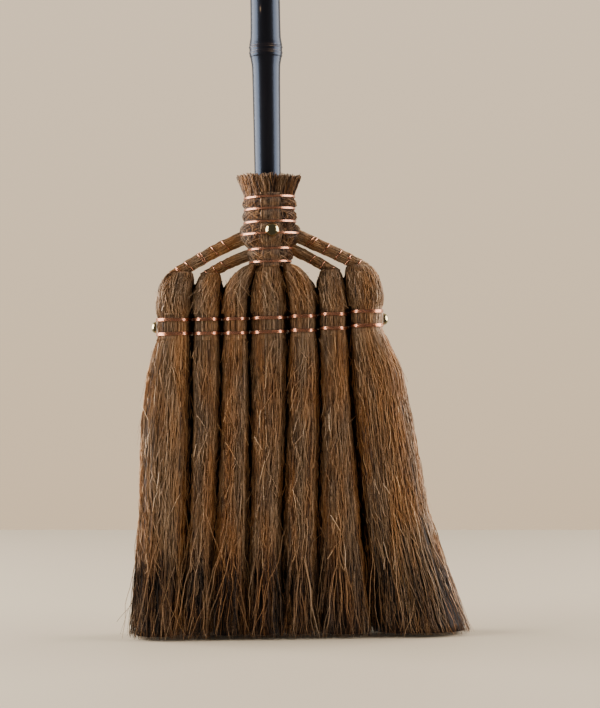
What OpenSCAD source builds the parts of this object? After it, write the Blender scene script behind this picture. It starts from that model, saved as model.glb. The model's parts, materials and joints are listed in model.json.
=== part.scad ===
// Long-handled palm-fibre broom: a hollow bamboo handle held in a bound fibre neck, and
// seven bound fibre bundles side by side on a cross skewer.
// Millimetres, +Z up, +X along the row of bundles, -Y the front with the tack.
// The origin is on the floor, under the axis of the handle.

/* [Bamboo handle] */
// Height from the floor to the top of the handle
total_h = 1300; // [1150:10:1500]
// Radius of the culm where the neck grips it
grip_r = 11.6; // [10.5:0.1:12]
// Radius of the culm above its lowest visible node
culm_r = 13.2; // [12.5:0.1:14]
// Thickness of the culm's wall
culm_wall = 3.5; // [2.5:0.1:5]
// Radius of the ridges at a node
ridge_r = 15; // [14.5:0.1:16]
// Height of the lowest visible node
first_node_z = 522; // [500:1:560]
// Number of visible nodes, the top one closing the handle
node_count = 5; // [3:1:7]
// Radius of the hole for a hanging cord
hang_hole_r = 3; // [2:0.25:4]
// Distance from the top of the handle down to the hanging hole
hang_hole_drop = 45; // [35:1:70]

/* [Neck] */
// Height of the underside of the neck
neck_foot_z = 331; // [331:0.5:333]
// Height where the neck ends and the frayed collar starts
neck_top_z = 392.5; // [392.5:0.5:397]
// Height of the frayed collar
collar_h = 18; // [12:1:24]
// Radius of the collar's flared rim
collar_rim_r = 28.5; // [26:0.5:31]
// Width of the smooth fibre strip on the front of the neck
strip_w = 16; // [12:0.5:20]
// How much the fibre swells between two neck bindings
neck_swell = 1.2; // [0.4:0.1:2]

/* [Copper wire] */
// Diameter of the binding wire
wire_d = 0.9; // [0.7:0.05:1]
// Turns of wire in each neck binding
neck_turns = 3; // [2:1:3]
// Turns of wire in each shoulder binding
shoulder_turns = 4; // [3:1:5]
// Distance between the turns of wire along an arm
arm_pitch = 10.5; // [9:0.5:14]

/* [Brass tacks] */
// Radius of the front tack's dome
front_tack_r = 6.3; // [5:0.1:7]
// Radius of each side tack's dome
side_tack_r = 5.4; // [4.5:0.1:6]
// Height of a dome, as a share of its radius
dome_rise = 0.8; // [0.6:0.05:0.95]
// Radius of a tack's nail
nail_r = 1.1; // [0.9:0.1:1.2]

/* [Bundles] */
// Height of the lower shoulder binding at the left bundle
low_band_z = 270; // [268:0.5:272]
// Distance from the lower to the upper shoulder binding
band_gap = 12.5; // [12:0.25:14]
// Half the depth of a bundle at the shoulder bindings
bind_half_y = 18.5; // [16:0.5:20]
// Half the depth of the bristles at the floor
tip_half_y = 27.5; // [24:0.5:30]
// Radius of the cross skewer
skewer_r = 2; // [1.5:0.1:2]
// Radius of an outer arm past its fuller start
outer_arm_r = 5.2; // [4:0.1:5.5]
// Radius of an inner arm past its fuller start
inner_arm_r = 4.4; // [4:0.1:5]
// Width of the gap between the bristles of neighbouring bundles
bristle_gap = 1.4; // [1.2:0.1:3]

/* [Hidden] */

// Room left round a piece that another piece is fitted against
fit_gap = 0.1;
round_fn = 64;

bamboo_black = [0.10, 0.09, 0.11];
bamboo_tan = [0.72, 0.58, 0.36];
fibre_brown = [0.42, 0.29, 0.18];
fibre_tan = [0.52, 0.37, 0.23];
fibre_dark = [0.30, 0.20, 0.13];
copper = [0.85, 0.50, 0.33];
brass = [0.83, 0.66, 0.32];

// ---- Handle ----
culm_foot_z = neck_foot_z + 3;
top_node_z = total_h - 12;
web = 3;

// Height of node k: the stretches between nodes grow a little towards the foot
function node_z(k) =
    first_node_z + (top_node_z - first_node_z) * pow(k / (node_count - 1), 0.95);

// Outline of one node: a rounded lower ridge, a waist, a sharper upper ridge
function node_outline(z, below_r) = [
    [below_r, z - 14],
    [below_r + (ridge_r - below_r) * 0.35, z - 7],
    [ridge_r - 0.3, z - 3.6],
    [ridge_r, z - 2.6],
    [ridge_r - 0.3, z - 1.6],
    [ridge_r - 1.1, z],
    [ridge_r - 0.2, z + 1.6],
    [ridge_r + 0.1, z + 2.4],
    [ridge_r - 0.5, z + 3.4],
    [culm_r + (ridge_r - culm_r) * 0.3, z + 6],
    [culm_r, z + 11]
];

// ---- Neck ----
// Each neck binding: height, and radius of the fibre under the wire
neck_bands = [[390, 22.2], [379.5, 22.2], [368, 22.8], [357.4, 25.8], [344.2, 19.8], [332.8, 18.4]];
neck_land = wire_d * neck_turns / 2 + 0.5;
strip_x = 1.5;
strip_depth = 4;

// Outline of the neck between binding k and the one under it, swelling in a half wave
function swell_outline(k) =
    let (high = neck_bands[k], low = neck_bands[k + 1],
         z0 = low[0] + neck_land, z1 = high[0] - neck_land)
    [for (s = [1:5])
        let (t = s / 6)
        [low[1] + (high[1] - low[1]) * t + neck_swell * sin(180 * t), z0 + (z1 - z0) * t]];

function neck_outline() = concat(
    [[0, neck_foot_z], [neck_bands[5][1] - 0.6, neck_foot_z]],
    [for (k = [5:-1:0]) each concat(
        [[neck_bands[k][1], max(neck_bands[k][0] - neck_land, neck_foot_z + 0.3)],
         [neck_bands[k][1], neck_bands[k][0] + neck_land]],
        k > 0 ? swell_outline(k - 1) : [])],
    [[neck_bands[0][1], neck_top_z], [0, neck_top_z]]
);

// ---- Bundles ----
bundle_x = [-85.3, -56, -30.5, -1, 29.5, 56.5, 85.8];
bundle_w = [29.8, 23.8, 22.2, 31.8, 24.2, 24.8, 28.8];
// How much higher each bundle is bound than the left one
bind_rise = [0, 0, 0, 0.5, 1.5, 3, 5];
// Top of each head: where its tail leaves, and half its width there
head_top_x = [-79, -52, -15, 0, 17, 54, 79.5];
head_top_z = [325.5, 324, 330.6, 330.6, 330.6, 325.5, 329.5];
head_top_half_w = [8.3, 6.5, 3, 7.5, 3, 6.5, 8];
head_top_half_y = [5.5, 5, 15, 17, 15, 5, 5.5];
head_swell = [0.09, 0.035, 0.045, 0.037, 0.03, 0, 0.145];
// How late the head bends over towards its tail
head_bend = [2, 2, 3, 2, 3, 2, 2];
// How square the shoulders of its dome are
head_dome = [3, 3, 3, 2, 3, 3, 3];
swell_y = 2;

// Section of a bundle: between an ellipse and a rectangle
section_power = 2.4;
section_count = 24;
function signed_pow(v, p) = sign(v) * pow(abs(v), p);
function section(cx, half_w, half_y) = [
    for (i = [0:section_count - 1])
        let (a = 360 * i / section_count)
        [cx + half_w * signed_pow(cos(a), 2 / section_power),
         half_y * signed_pow(sin(a), 2 / section_power)]];

function at_height(outline, z) = [for (p = outline) [p[0], p[1], z]];
function mix(a, b, t) = a + (b - a) * t;

function low_z(i) = low_band_z + bind_rise[i];
function high_z(i) = low_z(i) + band_gap;
function head_foot_z(i) = low_z(i) - 4;

function head_ring(i, u) =
    let (swell = sin(90 * min(1, u / 0.3)),
         dome = sqrt(1 - pow(u, head_dome[i])),
         x = mix(bundle_x[i], head_top_x[i], pow(u, head_bend[i])),
         full_w = bundle_w[i] / 2 * (1 + head_swell[i] * swell),
         full_y = bind_half_y + swell_y * swell,
         z0 = high_z(i) + 3.5)
    at_height(section(x, mix(head_top_half_w[i], full_w, dome),
                      mix(head_top_half_y[i], full_y, dome)),
              mix(z0, head_top_z[i], u));

function head_rings(i) = concat(
    [at_height(section(bundle_x[i], bundle_w[i] / 2, bind_half_y), head_foot_z(i))],
    [for (u = [0, 0.15, 0.3, 0.5, 0.65, 0.78, 0.88, 0.95, 1]) head_ring(i, u)]);

// ---- Bristles ----
// Lines between neighbouring bundles and the two outer edges, at four heights
edge_z = [235, 190, 110, 0];
edge_x = [
    [-110, -116, -119, -127],
    [-70, -70, -73, -79],
    [-44, -45, -50, -58],
    [-19, -18.5, -20, -23],
    [15, 14, 9, 6],
    [44, 44, 41, 38],
    [70.5, 72.5, 79, 87],
    [118, 126, 139, 174]
];

// The bristles turn about an axis below the binding, in a round top about that axis
turn_r = bind_half_y + 0.5;
turn_gap = 0.5;
// The bristles' own section ends this far above the axis, inside the round top
turn_lap = 2;
function turn_z(i) = head_foot_z(i) - turn_gap - turn_r;

function edge_at(e, z, top_z, top_x) = lookup(z, concat(
    [for (k = [3:-1:0]) [edge_z[k], edge_x[e][k]]], [[top_z, top_x]]));
function depth_at(z, i) = lookup(z, [[0, tip_half_y], [110, mix(turn_r, tip_half_y, 0.75)],
                                     [190, mix(turn_r, tip_half_y, 0.45)], [turn_z(i), turn_r - 0.6]]);

function skirt_ring(i, z) =
    let (top_z = turn_z(i) + turn_r,
         left_top = bundle_x[i] - bundle_w[i] / 2,
         right_top = bundle_x[i] + bundle_w[i] / 2,
         left_gap = i == 0 ? 0 : bristle_gap / 2,
         right_gap = i == 6 ? 0 : bristle_gap / 2,
         left = edge_at(i, z, top_z, left_top - left_gap) + left_gap,
         right = edge_at(i + 1, z, top_z, right_top + right_gap) - right_gap)
    at_height(section((left + right) / 2, (right - left) / 2, depth_at(z, i)), z);

function skirt_rings(i) =
    [for (z = [0, 30, 70, 110, 150, 190, 212, 235, turn_z(i) + turn_lap]) skirt_ring(i, z)];

// ---- Arms ----
// Each arm, left first: start in the neck, handle of its curve, reach of the handle at the other
// end, and the stretch of the curve that the wire is wound on
outer_arms = [[[18, 356], [40, 349], 14, [0.25, 0.68]], [[18, 359.5], [40, 348.5], 14, [0.25, 0.66]]];
inner_arms = [[[14, 340], [28, 337.5], 9, [0.3, 0.6]], [[14, 346.5], [28, 342], 9, [0.3, 0.62]]];
arm_slope = 36;
// An arm's curve runs on past the top of its head by this much, across and down
arm_past = [7, 4.5];
arm_steps = 13;

function bezier(p, t) = pow(1 - t, 3) * p[0] + 3 * t * pow(1 - t, 2) * p[1]
    + 3 * t * t * (1 - t) * p[2] + pow(t, 3) * p[3];
// Curve of the arm on head i: side is -1 on the left, 1 on the right
function arm_curve(i, side, shape) =
    let (end = [head_top_x[i] + side * arm_past[0], 0, head_top_z[i] - arm_past[1]])
    [[side * shape[0][0], 0, shape[0][1]], [side * shape[1][0], 0, shape[1][1]],
     end + shape[2] * [-side * cos(arm_slope), 0, sin(arm_slope)], end];

function unit(v) = v / norm(v);
function along(curve, t) = unit(bezier(curve, min(1, t + 0.01)) - bezier(curve, max(0, t - 0.01)));
// Point at angle a on a circle round the curve; +Y is across the arm
function around(curve, t, r, a) =
    let (d = along(curve, t), up = cross(d, [0, 1, 0]))
    bezier(curve, t) + r * (cos(a) * up + sin(a) * [0, 1, 0]);
// An arm is fuller where it leaves the neck
function arm_r_at(r, t) = r * (1 + 0.18 * pow(1 - t, 3));

function arm_rings(curve, r) = [
    for (s = [0:arm_steps])
        let (t = s / arm_steps)
        [for (j = [0:11]) around(curve, t, arm_r_at(r, t), 30 * j)]];

function wire_rings(curve, r, stretch) =
    let (span = norm(bezier(curve, stretch[1]) - bezier(curve, stretch[0])),
         steps = round(12 * span / arm_pitch))
    [for (s = [0:steps])
        let (t = mix(stretch[0], stretch[1], s / steps),
             a = 30 * s,
             here = around(curve, t, arm_r_at(r, t) + wire_d / 2 + fit_gap, a),
             radial = unit(here - bezier(curve, t)))
        [for (j = [0:5]) here + wire_d / 2
            * (cos(60 * j) * radial + sin(60 * j) * along(curve, t))]];

// ---- Tacks and skewer ----
front_tack_x = 3.7;
// The nail goes in just over the fourth binding
front_tack_z = neck_bands[3][0] + wire_d * 1.5 + nail_r + fit_gap;
front_seat_y = -(neck_bands[3][1] + wire_d + 0.4);
front_nail_l = 17;
shoulder_half_x = 100.25;
side_seat_x = shoulder_half_x + wire_d + fit_gap * 3;
side_nail_l = 14;
skewer_rise = 4.5;
skewer_z = low_band_z + band_gap / 2 + 2;
skewer_tilt = atan(skewer_rise / (2 * shoulder_half_x));

// ---- Shared shapes ----
// Closed solid through a list of rings with the same number of points
module loft(rings) {
    n = len(rings[0]);
    last = (len(rings) - 1) * n;
    polyhedron(
        points = [for (ring = rings) each ring],
        faces = concat(
            [[for (i = [0:n - 1]) i]],
            [for (k = [0:len(rings) - 2]) for (i = [0:n - 1])
                let (a = k * n + i, b = k * n + (i + 1) % n)
                each [[a, a + n, b + n], [a, b + n, b]]],
            [[for (i = [n - 1:-1:0]) last + i]]));
}

// Dome with a nail under it, standing on the XY plane and pointing up
module tack(r, nail_l) {
    h = r * dome_rise;
    ball_r = (r * r + h * h) / (2 * h);
    color(brass) {
        intersection() {
            translate([0, 0, h - ball_r]) sphere(r = ball_r, $fn = round_fn);
            translate([-r, -r, 0]) cube([2 * r, 2 * r, h + 1]);
        }
        translate([0, 0, -nail_l]) cylinder(r = nail_r, h = nail_l + h / 2, $fn = round_fn);
    }
}

module front_nail_hole() {
    translate([front_tack_x, front_seat_y - 1, front_tack_z])
        rotate([-90, 0, 0])
            cylinder(r = nail_r + fit_gap / 2, h = front_nail_l + 2, $fn = round_fn);
}

module along_skewer() {
    translate([0, 0, skewer_z]) rotate([0, -skewer_tilt, 0]) children();
}

module neck_solid() {
    rotate_extrude($fn = round_fn) polygon(neck_outline());
}

module strip_space(grow) {
    difference() {
        translate([strip_x - strip_w / 2 - grow, -40, neck_foot_z - 1])
            cube([strip_w + 2 * grow, 40, neck_top_z - neck_foot_z + 2]);
        cylinder(r = neck_bands[5][1] - strip_depth - grow, h = total_h, $fn = round_fn);
    }
}

// ---- Sub-parts ----
// Hollow bamboo culm with a solid web at each node and a hole near the top
module handle() {
    top_r = culm_r + (ridge_r - culm_r) * 0.15;
    color(bamboo_black) difference() {
        rotate_extrude($fn = round_fn) polygon(concat(
            [[0, culm_foot_z], [grip_r, culm_foot_z], [grip_r, neck_top_z + 1]],
            [for (k = [0:node_count - 2]) each node_outline(node_z(k), k == 0 ? grip_r + 0.8 : culm_r)],
            [for (p = node_outline(top_node_z, culm_r)) if (p[1] < top_node_z + 10) p],
            [[top_r, total_h - 1.2], [top_r - 1.4, total_h], [0, total_h]]));
        translate([0, 0, culm_foot_z - 1])
            cylinder(r = grip_r - culm_wall, h = node_z(0) - web / 2 - culm_foot_z + 1, $fn = round_fn);
        for (k = [0:node_count - 2])
            translate([0, 0, node_z(k) + web / 2])
                cylinder(r = culm_r - culm_wall, h = node_z(k + 1) - node_z(k) - web, $fn = round_fn);
        translate([0, 0, total_h - hang_hole_drop]) rotate([90, 0, 0])
            cylinder(r = hang_hole_r, h = 4 * culm_r, center = true, $fn = round_fn);
        front_nail_hole();
    }
}

// Fibre tails of the bundles, gathered round the handle
module neck_wrap() {
    color(fibre_brown) difference() {
        neck_solid();
        translate([0, 0, culm_foot_z - fit_gap])
            cylinder(r = grip_r + fit_gap, h = total_h, $fn = round_fn);
        strip_space(fit_gap);
        front_nail_hole();
    }
}

// Smooth tail of the centre bundle, laid up the front of the neck
module centre_tail() {
    color(fibre_tan) difference() {
        intersection() {
            neck_solid();
            strip_space(0);
        }
        front_nail_hole();
    }
}

// Cut ends of the fibre, flaring round the handle
module collar() {
    foot_z = neck_top_z + 0.3;
    color(fibre_brown) rotate_extrude($fn = round_fn) polygon([
        [grip_r + 0.6, foot_z],
        [neck_bands[0][1], foot_z],
        [mix(neck_bands[0][1], collar_rim_r, 0.35), foot_z + collar_h * 0.5],
        [collar_rim_r, foot_z + collar_h],
        [collar_rim_r - 7, foot_z + collar_h - 1.5],
        [grip_r + 1.6, foot_z + collar_h * 0.6]
    ]);
}

// Binding k of the neck, 0 at the top: turns of wire side by side
module neck_band(k) {
    pitch = wire_d * 0.92;
    color(copper) rotate_extrude($fn = round_fn)
        for (t = [0:neck_turns - 1])
            translate([neck_bands[k][1] + fit_gap + wire_d / 2,
                       neck_bands[k][0] + (t - (neck_turns - 1) / 2) * pitch])
                circle(d = wire_d, $fn = 24);
}

module front_tack() {
    translate([front_tack_x, front_seat_y, front_tack_z])
        rotate([90, 0, 0]) tack(front_tack_r, front_nail_l);
}

module side_tack(side) {
    along_skewer() translate([side * side_seat_x, 0, 0])
        rotate([0, side * 90, 0]) tack(side_tack_r, side_nail_l);
}

// Bamboo rod through all seven bundles, bored at each end for a tack's nail
module skewer() {
    half_l = shoulder_half_x - 0.5;
    color(bamboo_tan) along_skewer() difference() {
        rotate([0, 90, 0]) cylinder(r = skewer_r, h = 2 * half_l, center = true, $fn = round_fn);
        for (side = [-1, 1])
            translate([side * half_l, 0, 0]) rotate([0, 90, 0])
                cylinder(r = nail_r + fit_gap / 2, h = 2 * side_nail_l, center = true, $fn = round_fn);
    }
}

// Rounded head of bundle i, bored for the skewer
module head(i) {
    color(fibre_brown) difference() {
        loft(head_rings(i));
        along_skewer() translate([bundle_x[i], 0, 0]) rotate([0, 90, 0])
            cylinder(r = skewer_r + fit_gap, h = 2 * bundle_w[i], center = true, $fn = round_fn);
    }
}

// Free bristles of bundle i, with a round top on the axis that they turn about
module skirt(i) {
    color(fibre_dark) {
        loft(skirt_rings(i));
        translate([bundle_x[i], 0, turn_z(i)]) rotate([0, 90, 0])
            cylinder(r = turn_r, h = bundle_w[i], center = true, $fn = round_fn);
    }
}

// Room that the neck and its bindings take, kept clear of the arms
module neck_room() {
    low = neck_bands[4];
    high = neck_bands[3];
    room = wire_d + 3 * fit_gap;
    cylinder(r = low[1] + room, h = low[0] + neck_land, $fn = round_fn);
    translate([0, 0, low[0] + neck_land])
        cylinder(r1 = low[1] + room, r2 = high[1] + room,
                 h = high[0] - low[0] - 2 * neck_land, $fn = round_fn);
    translate([0, 0, high[0] - neck_land]) cylinder(r = high[1] + room, h = 40, $fn = round_fn);
}

// Arm on head i, ended by a level cut just over the head
module arm(i, side, shape, r) {
    past = 40;
    color(fibre_brown) difference() {
        loft(arm_rings(arm_curve(i, side, shape), r));
        neck_room();
        translate([head_top_x[i] - past / 2, -past / 2, head_top_z[i] + 3 * fit_gap - past])
            cube(past);
    }
}

module arm_wire(i, side, shape, r) {
    color(copper) loft(wire_rings(arm_curve(i, side, shape), r, shape[3]));
}

// The two bindings of bundle i
module shoulder_bands(i) {
    h = wire_d * shoulder_turns;
    inner = section(bundle_x[i], bundle_w[i] / 2 + fit_gap, bind_half_y + fit_gap);
    outer = section(bundle_x[i], bundle_w[i] / 2 + fit_gap + wire_d, bind_half_y + fit_gap + wire_d);
    color(copper) for (z = [low_z(i), high_z(i)])
        translate([0, 0, z - h / 2]) linear_extrude(h) difference() {
            polygon(outer);
            polygon(inner);
        }
}

handle();
neck_wrap();
centre_tail();
collar();
neck_band(0);  // neck_band_1
neck_band(1);  // neck_band_2
neck_band(2);  // neck_band_3
neck_band(3);  // neck_band_4
neck_band(4);  // neck_band_5
neck_band(5);  // neck_band_6
front_tack();
side_tack(-1);  // left_tack
side_tack(1);  // right_tack
skewer();
head(0);  // head_1
head(1);  // head_2
head(2);  // head_3
head(3);  // head_4
head(4);  // head_5
head(5);  // head_6
head(6);  // head_7
skirt(0);  // skirt_1
skirt(1);  // skirt_2
skirt(2);  // skirt_3
skirt(3);  // skirt_4
skirt(4);  // skirt_5
skirt(5);  // skirt_6
skirt(6);  // skirt_7
arm(0, -1, outer_arms[0], outer_arm_r);  // outer_arm_left
arm(1, -1, inner_arms[0], inner_arm_r);  // inner_arm_left
arm(5, 1, inner_arms[1], inner_arm_r);  // inner_arm_right
arm(6, 1, outer_arms[1], outer_arm_r);  // outer_arm_right
arm_wire(0, -1, outer_arms[0], outer_arm_r);  // outer_wire_left
arm_wire(1, -1, inner_arms[0], inner_arm_r);  // inner_wire_left
arm_wire(5, 1, inner_arms[1], inner_arm_r);  // inner_wire_right
arm_wire(6, 1, outer_arms[1], outer_arm_r);  // outer_wire_right
shoulder_bands(0);  // shoulder_bands_1
shoulder_bands(1);  // shoulder_bands_2
shoulder_bands(2);  // shoulder_bands_3
shoulder_bands(3);  // shoulder_bands_4
shoulder_bands(4);  // shoulder_bands_5
shoulder_bands(5);  // shoulder_bands_6
shoulder_bands(6);  // shoulder_bands_7
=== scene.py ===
"""Looks of a long-handled palm fibre broom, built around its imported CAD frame.

Metres, +Z up, +X along the row of bundles, the front towards -Y. Every fibre is a thin closed tube: the
centrelines are worked out as arrays, bundle by bundle, from the sections of the CAD solids.
"""

import json
import math

import bpy
import numpy as np
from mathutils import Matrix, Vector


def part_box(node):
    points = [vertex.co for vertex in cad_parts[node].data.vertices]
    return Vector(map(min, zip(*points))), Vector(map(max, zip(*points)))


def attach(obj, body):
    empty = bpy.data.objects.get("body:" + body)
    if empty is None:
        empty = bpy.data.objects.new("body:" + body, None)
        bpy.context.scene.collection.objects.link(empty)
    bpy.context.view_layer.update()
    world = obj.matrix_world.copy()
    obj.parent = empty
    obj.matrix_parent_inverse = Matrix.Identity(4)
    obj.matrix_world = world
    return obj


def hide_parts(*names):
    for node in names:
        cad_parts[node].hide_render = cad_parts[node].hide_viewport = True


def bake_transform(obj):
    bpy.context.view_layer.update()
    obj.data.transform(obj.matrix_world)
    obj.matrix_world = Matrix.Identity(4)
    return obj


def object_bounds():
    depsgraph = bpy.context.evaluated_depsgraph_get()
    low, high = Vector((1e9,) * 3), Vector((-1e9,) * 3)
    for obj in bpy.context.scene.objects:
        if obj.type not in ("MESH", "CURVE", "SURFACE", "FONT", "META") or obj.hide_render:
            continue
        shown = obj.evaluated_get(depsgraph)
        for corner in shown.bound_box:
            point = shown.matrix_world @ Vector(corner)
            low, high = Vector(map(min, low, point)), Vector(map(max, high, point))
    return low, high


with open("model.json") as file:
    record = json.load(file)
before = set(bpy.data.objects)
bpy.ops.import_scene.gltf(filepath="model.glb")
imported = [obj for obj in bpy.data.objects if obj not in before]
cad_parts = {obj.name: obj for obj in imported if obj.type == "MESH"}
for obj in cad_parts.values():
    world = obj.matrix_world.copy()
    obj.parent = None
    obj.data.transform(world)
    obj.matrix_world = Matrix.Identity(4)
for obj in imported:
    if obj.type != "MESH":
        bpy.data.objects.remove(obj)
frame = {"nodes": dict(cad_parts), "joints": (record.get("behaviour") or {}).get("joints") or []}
CAD_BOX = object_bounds()

MM = 0.001
ROOT = "handle_and_heads"
BUNDLES = 7
MIDDLE_BUNDLE = 4

# ---------------------------------------------------------------- sizes that go with the CAD solids
WIRE_R = 0.45 * MM
SECTION_POWER = 2.4
# How far a bundle's core, painted dark as shade between the fibres, swells past its CAD solid to meet the
# next bundle
CORE_FLANK = 2.7 * MM
# Half the height of a binding's middle, under which the core doesn't swell
BAND_COVER = 1.2 * MM
# Height of the bristles' round top below their hinge
ROUND_TOP = 20 * MM
SHOULDER_TURNS = 4
CAD_BAND_H = 2 * WIRE_R * SHOULDER_TURNS
NECK_TURNS = 3
# The neck stands a little to the right of the handle's axis
NECK_X = 1.2 * MM
STRIP_X = 2.5 * MM
STRIP_HALF_W = 8 * MM
STRIP_R = 22.5 * MM
# Round figure for the neck's radius, which turns a sideways shift into an angle
NECK_MEAN_R = 22 * MM
HANG_HOLE_DROP = 45 * MM
HANG_HOLE_R = 3 * MM
# Arms: side, top of the head that each is tied to, start in the neck, bend, reach of the end's
# handle and radius, in millimetres, then where along it each turn of wire lies
ARMS = {
    "outer_arm_left": (-1, (79, 325.5), (18, 356), (40, 349), 14, 5.2,
                       (0.27, 0.40, 0.53, 0.55, 0.71, 0.84, 0.86)),
    "inner_arm_left": (-1, (52, 324), (14, 340), (28, 337.5), 9, 4.4, (0.50, 0.68, 0.84)),
    "inner_arm_right": (1, (54, 325.5), (14, 346.5), (28, 342), 9, 4.4, (0.48, 0.64, 0.80)),
    "outer_arm_right": (1, (79.5, 329.5), (18, 359.5), (40, 348.5), 14, 5.2,
                        (0.25, 0.28, 0.43, 0.57, 0.70, 0.84))}
ARM_SLOPE = math.radians(36)
# An arm's curve runs on past the top of its head by this much, across and down
ARM_PAST = (7, 4.5)

# ---------------------------------------------------------------- how many fibres there are
FIBRE_R = 0.26 * MM
# To each widest bundle of free bristles: those from the binding down, and those that start lower
LONG_BRISTLES = 470
TIP_BRISTLES = 420
TIP_BRISTLES_TOP = 125 * MM
# Height by which the locks' darkening begins, and where it is full; the darkening is partly the tips' own
# darker colour and partly painted shade near the floor
DARK_FROM = 96 * MM
DARK_FULL = 50 * MM
SKIRT_CROSSINGS = 600
STRAYS = 50
FUZZ = 40
HEAD_FIBRES = 430
HEAD_CROSSINGS = 280
NECK_FIBRES = 460
NECK_CURLS = 190
STRIP_FIBRES = 560
COLLAR_FIBRES = 2200
COLLAR_TUFTS = 46
ARM_FIBRES = 330

# ---------------------------------------------------------------- the photograph's view
CAMERA_DISTANCE = 1.6
CAMERA_X = 0.0265
CAMERA_Z = 0.2505
CAMERA_ROLL = math.radians(0.84)
CAMERA_LENS = 91.2
# The floor ends where the photograph's wall begins, on a line that looks level from the camera
FLOOR_BACK = 0.96
FLOOR_SKEW = -0.149
FLOOR_HALF_W = 1.15
FLOOR_FRONT = -1.7

# ---------------------------------------------------------------- light
SOFTBOX_X = 1.5
SOFTBOX_Z = 0.75
SOFTBOX_H = 1.6
SOFTBOX_FRONT_BACK = (-0.78, 0.90)
ROOM_FRONT = (0.08, 0.077, 0.073)
ROOM_BACK = (0.60, 0.56, 0.49)
# The wall as the camera sees it: darker low and brighter high, painted light
WALL_LOW = (0.97, 0.72, 0.46)
WALL_HIGH = (1.08, 0.85, 0.60)


# ================================================================ mesh tools
def unit(v):
    return v / np.maximum(np.linalg.norm(v, axis=-1, keepdims=True), 1e-12)


def smooth_step(low, high, v):
    t = np.clip((v - low) / (high - low), 0, 1)
    return t * t * (3 - 2 * t)


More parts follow.
